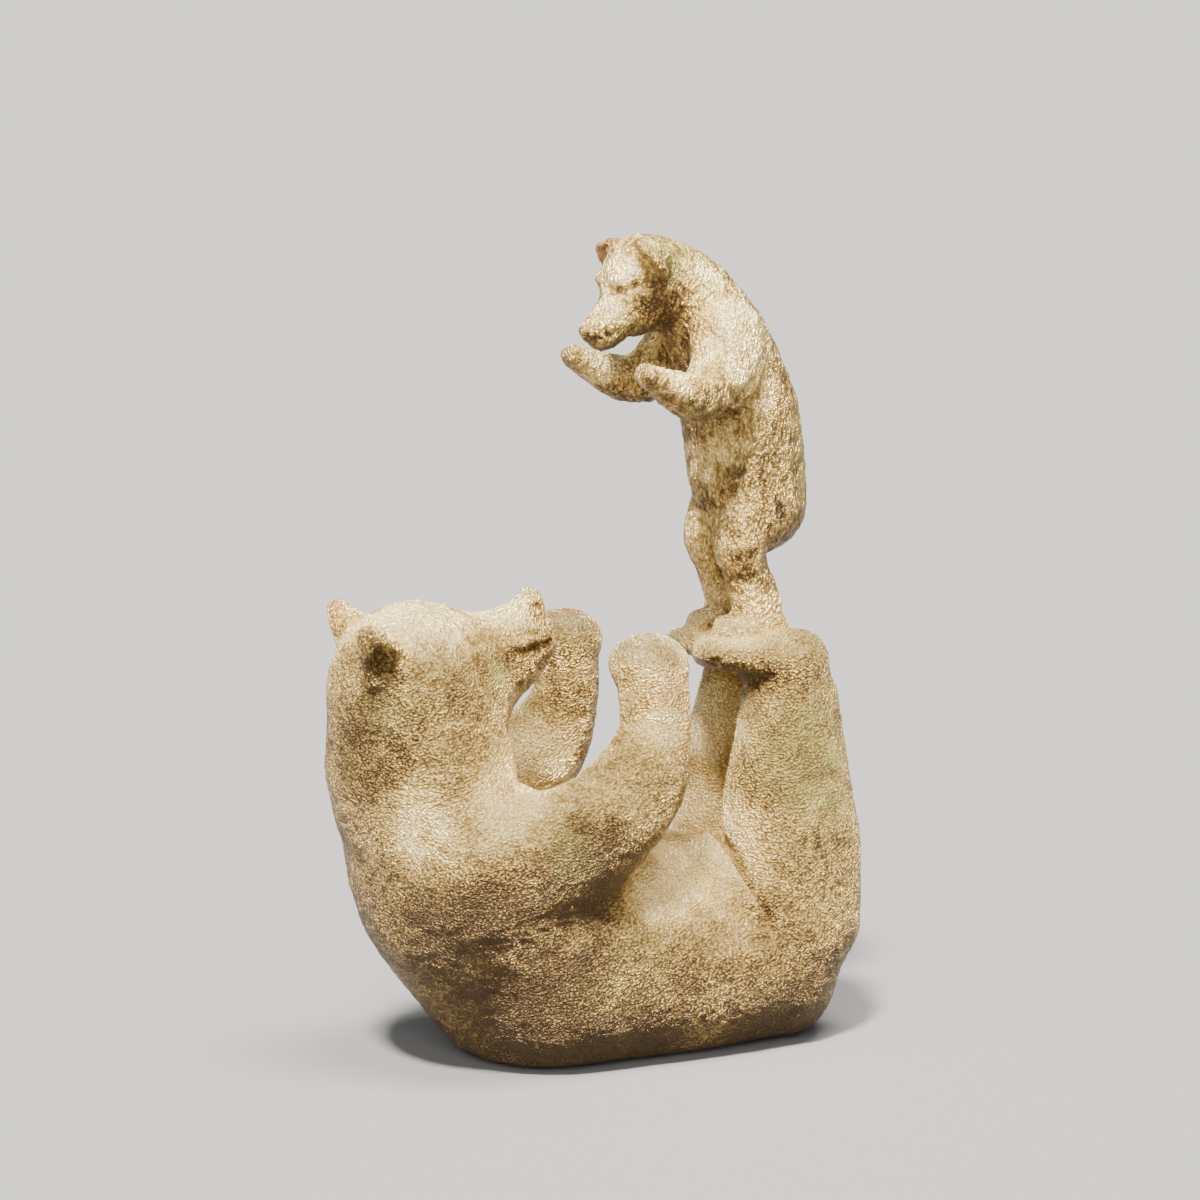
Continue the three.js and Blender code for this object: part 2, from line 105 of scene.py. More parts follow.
def limb(matrix, blend, stations, pressed=False):
    """A smooth run of stations (x, y, z, half width, half depth). The width is measured along the
    frame's Y, and the depth across both that and the run."""
    scale = matrix.median_scale
    points = [Vector(s[:3]) for s in stations]
    spans = len(stations) - 1
    samples = []
    for i in range(spans * STEPS_PER_SPAN + 1):
        t = i / STEPS_PER_SPAN
        at = min(int(t + 1e-9), spans - 1)
        wide, deep = [stations[at][k] * (1 - t + at) + stations[at + 1][k] * (t - at) for k in (3, 4)]
        samples.append((centripetal_point(points, t / spans), wide * scale, deep * scale))
    turn = matrix.to_3x3().normalized()
    pieces = []
    for (a, wide_a, deep_a), (b, wide_b, deep_b) in zip(samples, samples[1:]):
        along = (b - a).normalized()
        across = (Vector((0, 1, 0)) - along * along.y).normalized()
        axes = [turn @ v for v in (across, along.cross(across), along)]
        start = np.array(matrix @ a)
        end = np.array(matrix @ b)
        reach = max(wide_a, wide_b, deep_a, deep_b)
        pieces.append({
            "start": start,
            "run": end - start,
            "axes": np.array(axes).T,
            "wide": (wide_a, wide_b),
            "deep": (deep_a, deep_b),
            "low": np.minimum(start, end) - reach,
            "high": np.maximum(start, end) + reach,
        })
    low = np.min([p["low"] for p in pieces], axis=0)
    high = np.max([p["high"] for p in pieces], axis=0)
    return {"pieces": pieces, "blend": blend * scale, "pressed": pressed, "low": low, "high": high}


def lump(matrix, blend, place, sizes, pressed=False):
    """A rounded lump at a place, with three half sizes."""
    scale = matrix.median_scale
    centre = np.array(matrix @ Vector(place))
    axes = np.array(matrix.to_3x3().normalized())
    half = np.array(sizes) * scale
    reach = half.max()
    return {"centre": centre, "axes": axes, "half": half, "blend": blend * scale,
            "pressed": pressed, "low": centre - reach, "high": centre + reach}


def pair(make, shift, lean):
    """The same thing on both sides: the near one at -Y and the far one at +Y, which may be shifted
    and lean by so much for each millimetre of height."""
    def near(station):
        return (station[0], -station[1], *station[2:])

    def far(station):
        x, y, z = [v + s for v, s in zip(station, shift)]
        return (x + lean * station[2], y, z, *station[3:])
    return [make(near), make(far)]


def limb_pair(matrix, blend, stations, shift=(0, 0, 0), lean=0, pressed=False):
    return pair(lambda side: limb(matrix, blend, [side(s) for s in stations], pressed), shift, lean)


def lump_pair(matrix, blend, place, sizes, shift=(0, 0, 0), lean=0, pressed=False):
    return pair(lambda side: lump(matrix, blend, side(place), sizes, pressed), shift, lean)


BODY = place_frame(BEAR)
HEAD = place_frame(1, HEAD_PLACE, HEAD_TURN, BODY)
CUB_BODY = place_frame(CUB, [v * BEAR for v in CUB_PLACE])
CUB_HEAD = place_frame(1, CUB_HEAD_PLACE, CUB_HEAD_TURN, CUB_BODY)


def bear_forms():
    """The mother, from her back on the ground to her head, paws and the soles of her hind feet."""
    trunk = [
        (36, 0, 36, 38, 25),
        (12, 0, 30, 41, 30),
        (-20, 0, 35, 42, 35),
        (-43, 0, 43, 42, 39.2),
        (-60, 0, 55.5, 39.3, 34),
        (-72, 0, 73.5, 36, 25.8),
        (-77, 0, 94, 31, 28),
        (-78, 0, 112, 25, 25),
    ]
    back = [
        (-39.5, 0, 18.5, 36, 25.3),
        (36, 0, 20, 39, 26.5),
    ]
    arm = [
        (-70, 28, 60, 14, 20),
        (-54, 34, 69, 14, 19),
        (-35, 36, 77, 14, 17),
        (-20.5, 34, 88.5, 13, 14.8),
        (-13.3, 31, 103, 10.8, 10.5),
        (-13, 28.5, 120.5, 11.2, 10.4),
    ]
    leg = [
        (40, 22, 38, 18, 25),
        (42, 21, 60, 18, 23),
        (41.5, 20, 75, 17, 21.5),
        (42, 19.5, 90, 15, 18.5),
        (43.3, 18, 106, 13, 16),
    ]
    foot = [
        (45.5, 18.5, 118.6, 12, 9.5),
        (32, 14.5, 120, 12.5, 7),
        (18.5, 9.5, 121.5, 11.5, 4.5),
    ]
    groin = [
        (26, 1, 59, 2, 2),
        (19, 17, 62, 2.2, 2.2),
        (18, 26, 57, 2.2, 2.2),
        (19.5, 32.5, 50, 2.2, 2.2),
        (24, 38, 42.5, 1.6, 1.6),
        (30, 42, 37, 0.8, 0.8),
    ]
    belly_edge = [
        (20, 1, 58, 4, 4),
        (14, 16, 59, 4, 4),
        (13.5, 24, 54.5, 4.5, 4.5),
        (15, 30, 47.5, 5, 5),
    ]
    ear = [
        (-12, 16.5, 14, 4.5, 6.5),
        (-12.6, 18, 21, 4.2, 5.9),
        (-13.6, 19.3, 26, 3.6, 4.4),
        (-15, 20, 30, 2.4, 2.4),
    ]
    muzzle = [
        (8, 0, -5, 18, 19),
        (20, 0, -3.5, 13.5, 15.8),
        (29, 0, -2, 11, 14),
        (36.5, 0, 0.5, 8.5, 11.5),
    ]
    return [
        limb(BODY, 4, trunk),
        limb(BODY, 12, back),
        lump(BODY, 6, (48, -2, 45), (18, 18, 23)),
        lump(BODY, 3, (65, -2, 30), (4.5, 5, 6)),
        *limb_pair(BODY, 9, arm, FAR_ARM_SHIFT, FAR_ARM_LEAN),
        *lump_pair(BODY, 4, (-14, 28, 124), (12, 11, 8), FAR_ARM_SHIFT, FAR_ARM_LEAN),
        *limb_pair(BODY, 6, leg, FAR_LEG_SHIFT),
        *limb_pair(BODY, 5, foot, FAR_LEG_SHIFT),
        *limb_pair(BODY, 4, belly_edge),
        *limb_pair(BODY, 3, groin, pressed=True),
        lump(HEAD, 8, (-1, 0, 0), (25, 24, 25)),
        limb(HEAD, 7, muzzle),
        lump(HEAD, 3, (41, 0, 9.5), (3.8, 5.5, 4.5)),
        *limb_pair(HEAD, 3, ear, FAR_EAR_SHIFT),
        *lump_pair(HEAD, 1.5, (-12.3, 21.5, 19.5), (3.9, 3.4, 6), FAR_EAR_SHIFT, pressed=True),
    ]


def cub_forms():
    """The cub, from its feet on those soles to its head."""
    trunk = [
        (6, 0, 37, 15, 16.5),
        (4, 0, 50, 17.5, 18.5),
        (1.2, 0, 66, 17.5, 18.5),
        (-4.5, 0, 84, 17, 16.3),
        (-13, 0, 99, 14.5, 14),
        (-24, 0, 108, 12.8, 13),
    ]
    arm = [
        (-11, 13, 94, 9, 12),
        (-14, 17, 83, 9, 12),
        (-26, 21.5, 75.2, 7.5, 7.6),
        (-36, 23.5, 77.6, 6.5, 5.9),
        (-46, 25, 82.8, 5.5, 3.4),
    ]
    leg = [
        (5, 8.5, 40, 9, 13),
        (-3.5, 9, 28, 8, 9),
        (-1.2, 8.7, 18.5, 6.5, 6.8),
        (3, 8.5, 7, 6.5, 8),
    ]
    foot = [
        (8, 8.5, 1, 6.5, 4.5),
        (-7.5, 8, 1, 6.5, 3.6),
    ]
    muzzle = [
        (5, 0, -3, 10, 10),
        (13, 0, -1.6, 7.5, 7.4),
        (20.2, 0, -1.8, 5.5, 6),
    ]
    return [
        limb(CUB_BODY, 3, trunk),
        lump(CUB_BODY, 5, (7.2, 0, 40.2), (13.9, 15, 14.2)),
        lump(CUB_BODY, 2, (23, 0, 37), (2.5, 3.5, 3.5)),
        *limb_pair(CUB_BODY, 3, arm, CUB_FAR_ARM_SHIFT),
        *limb_pair(CUB_BODY, 3, leg, CUB_FAR_LEG_SHIFT),
        *limb_pair(CUB_BODY, 3, foot, CUB_FAR_LEG_SHIFT),
        lump(CUB_HEAD, 4, (-0.8, 0, 1), (13.7, 13, 13.9)),
        limb(CUB_HEAD, 3, muzzle),
        *lump_pair(CUB_HEAD, 1.5, (-3.4, 10, 7.8), (3, 5.5, 6.6), CUB_NEAR_EAR_SHIFT),
        *lump_pair(CUB_HEAD, 1.5, (-0.2, 12, 7.8), (2.4, 3.4, 4.4), CUB_NEAR_EAR_SHIFT, pressed=True),
    ]


def fine_forms():
    """What is too fine for the solid: eyes, nostrils, lips, and folds no wider than a stroke."""
    mouth = [
        (41.5, 7, -2.2, 0.8, 0.8),
        (36, 9.6, -0.8, 1, 1),
        (30.6, 11.2, 0.4, 1, 1),
        (26, 12, 3.2, 0.6, 0.6),
    ]
    lip = [
        (40.5, 6.6, 0.2, 1.6, 1.6),
        (35, 8.4, 1.6, 1.6, 1.6),
        (29, 10.2, 3.2, 1.2, 1.2),
    ]
    cheek_fold = [
        (14.5, 8.5, 19, 0.9, 0.9),
        (15.5, 14.5, 13.8, 1.3, 1.3),
        (15.2, 19, 7.6, 1.4, 1.4),
        (15.6, 21, 1.2, 1.2, 1.2),
        (18.4, 19.5, -7.4, 0.8, 0.8),
    ]
    ear_rim = [
        (-13, 20.8, 31, 1, 1),
        (-9.6, 20.8, 26.5, 1.4, 1.4),
        (-6.8, 19.2, 21.5, 1.5, 1.5),
        (-5.6, 17.6, 17.5, 1.2, 1.2),
    ]
    ear_fold = [
        (-15.8, 22.6, 29.5, 0.7, 0.7),
        (-13.8, 23, 26, 1.2, 1.2),
        (-12.4, 21.6, 22, 1.7, 1.7),
        (-11.8, 20.4, 18.5, 2, 2),
        (-13.8, 20.4, 16, 1.2, 1.2),
    ]
    belly_lip = [
        (19, -8, 64.5, 1, 1),
        (16.4, -17, 62.6, 1.5, 1.5),
        (15.6, -25, 58.6, 1.7, 1.7),
        (17.4, -32.4, 51, 1.6, 1.6),
        (21.5, -37.4, 43.6, 1, 1),
    ]
    sole_folds = [[(x, y, z + drop, 0.45, 0.45) for x, y, z in
                   ((14, -18.5, 121.3), (21.5, -23.4, 121.8), (28, -25.2, 122.4),
                    (33, -26, 123))] for drop in (0, -2.6)]
    shoulder_fold = [
        (4.5, 12, 92, 0.7, 0.7),
        (1.5, 17, 88.5, 1.4, 1.4),
        (-4, 22.4, 84.5, 1.8, 1.8),
        (-8, 24.6, 79.2, 1.8, 1.8),
        (-13.3, 25.2, 74.2, 1.7, 1.7),
        (-18.3, 24.5, 70, 1.2, 1.2),
        (-20, 20, 66.5, 0.6, 0.6),
    ]
    cub_mouth = [
        (24, 2.6, -1.2, 0.5, 0.5),
        (19.5, 5.6, -2.6, 0.8, 0.8),
        (14.5, 7.4, -3.4, 0.5, 0.5),
    ]
    cub_brow = [
        (9.6, 4.6, 8.4, 0.9, 0.9),
        (7.9, 7.4, 8.4, 1.3, 1.3),
        (4.6, 9.8, 7.4, 1, 1),
    ]
    cub_ear_rim = [
        (-0.8, 9.4, 14.6, 0.9, 0.9),
        (-0.4, 13.6, 12.8, 1.2, 1.2),
        (-0.2, 16, 9, 1.3, 1.3),
        (-0.3, 15.4, 4.4, 1.2, 1.2),
        (0, 12, 1.4, 0.8, 0.8),
    ]
    cub_ear_hollow = [
        (0.8, 10.4, 12, 0.8, 0.8),
        (1.4, 13, 10.6, 1.4, 1.4),
        (1.6, 14, 7.6, 1.6, 1.6),
        (1.6, 12.6, 4, 1.3, 1.3),
        (2, 10.6, 2, 0.7, 0.7),
    ]
    behind_cub_ear = [
        (-4.6, 12.6, 13.8, 0.8, 0.8),
        (-4.4, 15, 10.4, 1.6, 1.6),
        (-4, 15, 6, 1.8, 1.8),
        (-2.8, 12.6, 2, 1.2, 1.2),
    ]
    claws = [[(x, y + gap, z, 0.5, 0.5) for x, y, z in
              ((-38, 25.5, 83.4), (-43, 26.5, 85), (-47, 26.5, 85.6))] for gap in (-2.4, 0.6)]
    return [
        *limb_pair(HEAD, 1.5, lip),
        *limb_pair(HEAD, 1, mouth, pressed=True),
        *limb_pair(HEAD, 2.5, cheek_fold, pressed=True),
        *limb_pair(HEAD, 2, ear_rim, FAR_EAR_SHIFT),
        *limb_pair(HEAD, 1.2, ear_fold, FAR_EAR_SHIFT, pressed=True),
        *lump_pair(HEAD, 1, (41.6, 5.4, 9.2), (1.6, 1.5, 1.7), pressed=True),
        *lump_pair(HEAD, 0.8, (39.9, 6.4, 5.9), (1, 1, 1.1), pressed=True),
        *lump_pair(HEAD, 1, (15.6, 6.6, 18.4), (1.1, 1, 2.2), pressed=True),
        limb(BODY, 2.5, belly_lip),
        *[limb(BODY, 1.2, fold, pressed=True) for fold in sole_folds],
        *limb_pair(CUB_BODY, 0.7, shoulder_fold, pressed=True),
        *limb_pair(CUB_HEAD, 2.5, cub_brow),
        *lump_pair(CUB_HEAD, 2, (-0.8, 11.6, 8), (2.2, 4, 6.2), CUB_NEAR_EAR_SHIFT),
        *limb_pair(CUB_HEAD, 1, cub_ear_rim, CUB_NEAR_EAR_SHIFT),
        *limb_pair(CUB_HEAD, 0.8, cub_ear_hollow, CUB_NEAR_EAR_SHIFT, pressed=True),
        *limb_pair(CUB_HEAD, 1, behind_cub_ear, CUB_NEAR_EAR_SHIFT, pressed=True),
        *lump_pair(CUB_HEAD, 0.8, (10.2, 7, 6.4), (1.7, 1.7, 1.4), pressed=True),
        *lump_pair(CUB_HEAD, 0.8, (7, 9.6, 5.6), (1.6, 1, 0.8), pressed=True),
        lump(CUB_HEAD, 1.5, (24.6, 0, 1.2), (1.8, 3.4, 2.6)),
        *lump_pair(CUB_HEAD, 0.6, (26, 2, 1.2), (0.9, 0.9, 0.9), pressed=True),
        *limb_pair(CUB_HEAD, 1, cub_mouth, pressed=True),
        *[form for claw in claws
          for form in limb_pair(CUB_BODY, 0.8, claw, CUB_FAR_ARM_SHIFT, pressed=True)],
    ]


def outside(u, v, w, a, b, c):
    """How far points, given along three axes, lie outside an ellipsoid of those half sizes."""
    x, y, z = u / a, v / b, w / c
    share = np.sqrt(x * x + y * y + z * z)
    slope = np.sqrt((x / a) ** 2 + (y / b) ** 2 + (z / c) ** 2)
    return share * (share - 1) / np.maximum(slope, 1e-6)


def within(points, low, high):
    """Indices of the points that lie in a box."""
    return np.flatnonzero(np.all((points > low) & (points < high), axis=1))


def form_distance(form, points, reach):
    """The distance of each point from one form, or FAR beyond its reach."""
    if "centre" in form:
        u, v, w = ((points - form["centre"]) @ form["axes"]).T
        return outside(u, v, w, *form["half"])
    nearest = np.full(len(points), FAR)
    for piece in form["pieces"]:
        index = within(points, piece["low"] - reach, piece["high"] + reach)
        q = points[index] - piece["start"]
        run = piece["run"]
        t = np.clip(q @ run / (run @ run), 0, 1)
        q -= t[:, None] * run
        wide, deep = [a + t * (b - a) for a, b in (piece["wide"], piece["deep"])]
        u, v, w = (q @ piece["axes"]).T
        nearest[index] = np.minimum(nearest[index], outside(u, v, w, wide, deep, np.minimum(wide, deep)))
    return nearest


def join(a, b, blend):
    """The soft join of two distances: they run together where they differ by less than blend."""
    h = np.maximum(0, blend - np.abs(a - b)) / blend
    return np.minimum(a, b) - h * h * blend / 4


def group_distance(forms, points, band):
    """The whole group as one distance, negative inside and cut off flat at the ground."""
    d = np.full(len(points), FAR)
    for form in forms:
        reach = band + form["blend"]
        index = within(points, form["low"] - reach, form["high"] + reach)
        own = form_distance(form, points[index], reach)
        if form["pressed"]:
            d[index] = -join(-d[index], own, form["blend"])
        else:
            d[index] = join(d[index], own, form["blend"])
    return -join(-d, points[:, 2], UNDERSIDE_ROUND)


# Tracing

def grid_points(low, step, index):
    """Places of grid corners given as rows (k, j, i)."""
    return low + index[:, ::-1] * step


def sample_grid(forms, low, size, cell):
    """Distances on a grid [k, j, i]. Blocks far from the surface take the distance of their middle."""
    block = 4
    blocks = -(-size // block)
    index = np.indices(blocks).reshape(3, -1).T
    middles = grid_points(low, cell * block, index + 0.5)
    coarse = group_distance(forms, middles, cell * block * 1.5)
    near = (np.abs(coarse) < block * cell * 1.3).reshape(blocks)
    values = coarse.reshape(blocks)
    for axis in range(3):
        values = values.repeat(block, axis=axis)
        near = near.repeat(block, axis=axis)
    corners = np.argwhere(near)
    values[near] = group_distance(forms, grid_points(low, cell, corners), cell * 2)
    return values


def trace_surface(values, low, cell):
    """One point in each cell that the surface crosses and one quad across each crossed grid edge."""
    corner = np.array([(k, j, i) for k in (0, 1) for j in (0, 1) for i in (0, 1)])
    inside = values < 0
    top = np.array(values.shape) - 1
    views = [inside[k:top[0] + k, j:top[1] + j, i:top[2] + i] for k, j, i in corner]
    count = np.sum(views, axis=0, dtype=np.int8)
    cells = np.argwhere((count > 0) & (count < 8))
    at_corner = np.stack([values[tuple((cells + c).T)] for c in corner], axis=1)
    total = np.zeros((len(cells), 3))
    crossings = np.zeros(len(cells))
    for m in range(8):
        for n in range(m + 1, 8):
            if np.abs(corner[m] - corner[n]).sum() != 1:
                continue
            a = at_corner[:, m]
            b = at_corner[:, n]
            crossed = (a < 0) != (b < 0)
            t = np.where(crossed, a / np.where(crossed, a - b, 1), 0)
            total += np.where(crossed[:, None], corner[m] + t[:, None] * (corner[n] - corner[m]), 0)
            crossings += crossed
    points = grid_points(low, cell, cells + total / crossings[:, None])
    number = np.full(values.shape, -1)
    number[tuple(cells.T)] = np.arange(len(cells))

    quads = []
    for axis in range(3):
        step = np.eye(3, dtype=int)[axis]
        side_a, side_b = [np.eye(3, dtype=int)[(axis + n) % 3] for n in (1, 2)]
        first = inside[tuple(slice(1, top[n]) for n in range(3))]
        second = inside[tuple(slice(1 + step[n], top[n] + step[n]) for n in range(3))]
        edges = np.argwhere(first != second) + 1
        ring = np.stack([number[tuple((edges - m * side_a - n * side_b).T)]
                         for m, n in ((0, 0), (1, 0), (1, 1), (0, 1))], axis=1)
        starts_inside = inside[tuple(edges.T)]
        ring[starts_inside] = ring[starts_inside][:, ::-1]
        quads.append(ring)
    return points, np.concatenate(quads)


# Noise

def corner_gradients(cells, seed):
    """A steady pseudo-random direction for each whole-numbered cell corner."""
    x, y, z = cells.astype(np.uint32).T
    out = []
    for salt in (1, 2, 3):
        h = x * np.uint32(73856093) ^ y * np.uint32(19349663) ^ z * np.uint32(83492791)
        h ^= np.uint32((seed * 3 + salt) * 2654435761 % 2**32)
        for shift in (15, 13, 16):
            h ^= h >> np.uint32(shift)
            h *= np.uint32(2246822519)
        out.append(h / 2.0**31 - 1)
    return np.stack(out, axis=1)


def noise(points, seed):
    """Smooth noise of unit wavelength, about -1 to 1."""
    cells = np.floor(points).astype(np.int64)
    f = points - cells
    ease = f * f * f * (f * (f * 6 - 15) + 10)
    total = np.zeros(len(points))
    for k in (0, 1):
        for j in (0, 1):
            for i in (0, 1):
                step = np.array((i, j, k))
                weight = np.prod(np.where(step == 1, ease, 1 - ease), axis=1)
                total += weight * np.sum(corner_gradients(cells + step, seed) * (f - step), axis=1)
    return total * 1.4


def layered_noise(points, seed, layers):
    return sum(noise(points * 2**n, seed + n) / 2**n for n in range(layers))


def ridges(points, seed):
    """Winding raised strokes: 1 on their crests, falling to -1 between them."""
    bend = np.stack([noise(points * 0.5, seed + n) for n in (11, 12, 13)], axis=1)
    return 1 - 4 * np.minimum(np.abs(noise(points + bend * 0.7, seed)), 0.5)


def spots(points, places):
    """How strongly each point lies in soft spots (matrix, place, radius, strength), from 0 to 1."""
    total = np.zeros(len(points))
    for matrix, place, radius, strength in places:
        away = np.linalg.norm(points - np.array(matrix @ Vector(place)), axis=1) / radius
        total = np.maximum(total, strength * np.clip(1.5 - 1.5 * away, 0, 1))
    return total * total * (3 - 2 * total)


# Worn, pale and smoother places, which also paint light: highlights on the parts lit from above, and
# paleness laid over shadows that the arms, legs and soles cast
WEAR_AND_LIGHT = [
    (BODY, (8, -16, 58), 36, 1.0),
    (BODY, (26, 6, 64), 24, 1.0),
    (BODY, (-14, -34, 54), 20, 0.9),
    (BODY, (-40, -14, 80), 24, 1.0),
    (BODY, (-64, -30, 84), 22, 1.0),
    (BODY, (-90, -26, 79), 20, 0.8),
    (BODY, (-24, 22, 84), 22, 0.9),
    (BODY, (-13, -30, 122), 22, 0.9),
    (BODY, (-16, -38, 106), 14, 0.8),
    (BODY, (34, 8, 98), 24, 1.0),
    (BODY, (30, -13, 127), 22, 0.9),
    (BODY, (30, 13, 127), 22, 0.9),
    (HEAD, (6, -8, 24), 26, 1.0),
    (HEAD, (32, -2, 14), 16, 0.9),
    (HEAD, (-8, -21, 26), 6, 0.8),
    (CUB_BODY, (-12, -20, 90), 26, 0.9),
    (CUB_BODY, (-12, -12, 62), 16, 0.5),
    (CUB_BODY, (-2, -17, 75), 13, 0.7),
    (CUB_BODY, (-40, 17, 83), 11, 0.9),
    (CUB_BODY, (-38, -28, 82), 13, 0.7),
    (CUB_BODY, (-8, 4, 26), 17, 0.8),
    (CUB_BODY, (-15, -3, 52), 13, 0.6),
    (CUB_BODY, (-2, -9, 6), 16, 0.8),
    (CUB_BODY, (-19, -12, 108), 14, 0.7),
    (CUB_HEAD, (9, 6, 10), 15, 0.9),
    (CUB_HEAD, (16, 4, 4), 11, 0.8),
    (CUB_HEAD, (-1, 14, 10), 7, 0.9),
]
# Dark places, where wax and dirt sit, and painted shade: on the lower near flank and bottom, under the
# cub's jaw, under the soles and in the cub's eye pits
SHADE_AND_GRIME = [
    (BODY, (-46, -48, 64), 26, 1.0),
    (BODY, (-26, -46, 66), 14, 0.6),
    (BODY, (-74, -42, 54), 24, 0.8),
    (BODY, (-86, -26, 46), 26, 0.7),
    (BODY, (-56, -34, 26), 34, 0.8),
    (BODY, (-30, -38, 4), 30, 0.8),
    (BODY, (30, -38, 2), 30, 0.8),
    (BODY, (-100, -14, 100), 24, 0.6),
    (BODY, (28, -30, 84), 20, 0.45),
    (BODY, (-12, 30, 128), 18, 0.5),
    (BODY, (24, -14, 113), 16, 0.8),
    (CUB_BODY, (-7, -14, 51), 9, 0.45),
    (CUB_HEAD, (6, 11, -1), 8, 0.65),
    (BODY, (40, -36, 20), 24, 0.5),
    (CUB_HEAD, (9.6, 8, 6), 2.5, 0.7),
    (CUB_HEAD, (20, 4, -6), 7, 0.4),
]
GREEN = [
    (BODY, (48, -30, 90), 34, 0.8),
    (BODY, (-50, -44, 72), 18, 0.5),
    (HEAD, (22, -14, 0), 16, 0.6),
    (HEAD, (-14, -22, 6), 16, 0.4),
    (BODY, (-30, -40, 34), 30, 0.3),
    (CUB_HEAD, (-8, 12, 6), 12, 1.0),
    (CUB_HEAD, (16, 5, -4), 10, 0.6),
    (CUB_BODY, (16, -10, 56), 20, 0.8),
    (CUB_BODY, (-30, -24, 74), 10, 0.7),
    (BODY, (50, 26, 80), 26, 0.7),
    (BODY, (-60, 44, 66), 20, 0.6),
]
RED = [
    (HEAD, (-12, 19, 27), 7, 0.9),
    (HEAD, (17, 0, 16), 4, 1.0),
    (BODY, (-8, 30, 132), 14, 0.7),
    (BODY, (-10, -34, 112), 18, 0.5),
    (CUB_HEAD, (-3, -13, 10), 8, 0.9),
]
SPOTS = {"wear_and_light": WEAR_AND_LIGHT, "shade_and_grime": SHADE_AND_GRIME, "green": GREEN, "red": RED}
FAR_SIDE_SHARE = 0.8     # of the near side's wear and painted light, and of its grime and painted shade


def surface_marks(points):
    """How much wear and painted light, grime and painted shade, green and red each point has, each
    broken up by its own noise. The far side gets the wear, painted light, grime and painted shade that
    the near one has, a little less."""
    marks = {}
    swapped = points * (1, -1, 1)
    for seed, (name, places) in enumerate(SPOTS.items()):
        soft = spots(points, places)
        if name in ("wear_and_light", "shade_and_grime"):
            soft = np.maximum(soft, FAR_SIDE_SHARE * spots(swapped, places))
        broken = soft * (1 + 0.5 * layered_noise(points / 9, 40 + 5 * seed, 3))
        marks[name] = np.clip(broken, 0, 1)
    return marks


def fold_shade(forms, points, normals):
    """How closed in each point is, from 0 in the open to 1 deep in a fold; the colour takes it as
    painted shade in folds and creases.
    """
    total = np.zeros(len(points))
    for reach in (1.5, 3, 6):
        open_by = group_distance(forms, points + normals * reach, reach) / reach
        total += 1 - np.clip(open_by, 0, 1)
    return np.clip(total / 3 * 1.6 - 0.1, 0, 1)


def relief(points, wear_and_light):
    """Height over the smooth forms, in millimetres, and the part of it that is the modeller's touch.
    The strokes stand upright on the cub and on the mother's shins and lie level elsewhere."""
    x, _, z = points.T
    rough = 1 - 0.3 * wear_and_light
    on_cub = 1 / (1 + np.exp(-(z - 135) / 3))
    on_shin = 1 / (1 + np.exp(-(z - 68) / 4 - (x - 24) / 4)) * (x > 10)
    upright = np.maximum(on_cub, on_shin)
    lumps = 0.34 * layered_noise(points / 16, 1, 3)
    pats = ridges(points / 6.5, 5)
    standing = np.maximum(ridges(points * (1 / 2.8, 1 / 2.8, 1 / 8), 9), -0.2)
    lying = np.maximum(ridges(points * (1 / 7.5, 1 / 7.5, 1 / 2.6), 8), -0.2)
    strokes = standing * upright + lying * (1 - upright)
    grain = noise(points / 2.1, 14)
    touch = rough * ((0.16 + 0.16 * on_cub) * strokes + (0.1 + 0.07 * on_cub) * pats + 0.08 * grain)
    fade = np.clip(z / 4, 0, 1)
    return (lumps + touch) * fade, touch * fade


# Building the piece

def mesh_object(name, points, faces):
    mesh = bpy.data.meshes.new(name)
    mesh.from_pydata(points.tolist(), [], faces.tolist())
    mesh.validate()
    mesh.shade_smooth()
    piece = bpy.data.objects.new(name, mesh)
    bpy.context.scene.collection.objects.link(piece)
    return piece


def read_vectors(items, name):
    flat = np.empty(len(items) * 3, dtype=np.float32)
    items.foreach_get(name, flat)
    return flat.reshape(-1, 3).astype(float)


def store(mesh, name, values):
    layer = mesh.attributes.new(name, "FLOAT", "POINT")
    layer.data.foreach_set("value", values.astype(np.float32))


def thin_out(piece, most):
    """Takes triangles out of a piece until no more than the most are left."""
    piece.data.calc_loop_triangles()
    share = most / len(piece.data.loop_triangles)
    if share >= 1:
        return
    modifier = piece.modifiers.new("thin out", "DECIMATE")
    modifier.ratio = share
    evaluated = piece.evaluated_get(bpy.context.evaluated_depsgraph_get())
    thinned = bpy.data.meshes.new_from_object(evaluated)
    piece.modifiers.clear()
    old = piece.data
    piece.data = thinned
    thinned.name = old.name
    bpy.data.meshes.remove(old)


def build_group():
    forms = bear_forms() + cub_forms() + fine_forms()
    cell = TRACE_CELL
    low = np.min([f["low"] for f in forms], axis=0) - 3 * cell
    high = np.max([f["high"] for f in forms], axis=0) + 3 * cell
    low[2] = -2.5 * cell
    size = np.ceil((high - low) / cell).astype(int)[::-1]
    points, quads = trace_surface(sample_grid(forms, low, size, cell), low, cell)
    points[:, 2] = np.maximum(points[:, 2], 0)
    piece = mesh_object("bear_and_cub_bronze", points * MM, quads)
    normals = read_vectors(piece.data.vertex_normals, "vector")
    marks = surface_marks(points)
    # Painted shade of folds and creases, from how closed in each point is
    marks["fold_shade"] = fold_shade(forms, points, normals)
    height, touch = relief(points, marks["wear_and_light"])
    points = points + normals * height[:, None]
    points[:, 2] = np.maximum(points[:, 2], 0)
    piece.data.vertices.foreach_set("co", (points * MM).astype(np.float32).ravel())
    for name, values in {**marks, "relief": touch}.items():
        store(piece.data, name, values)
    thin_out(piece, MOST_TRIANGLES)
    return piece


# Material

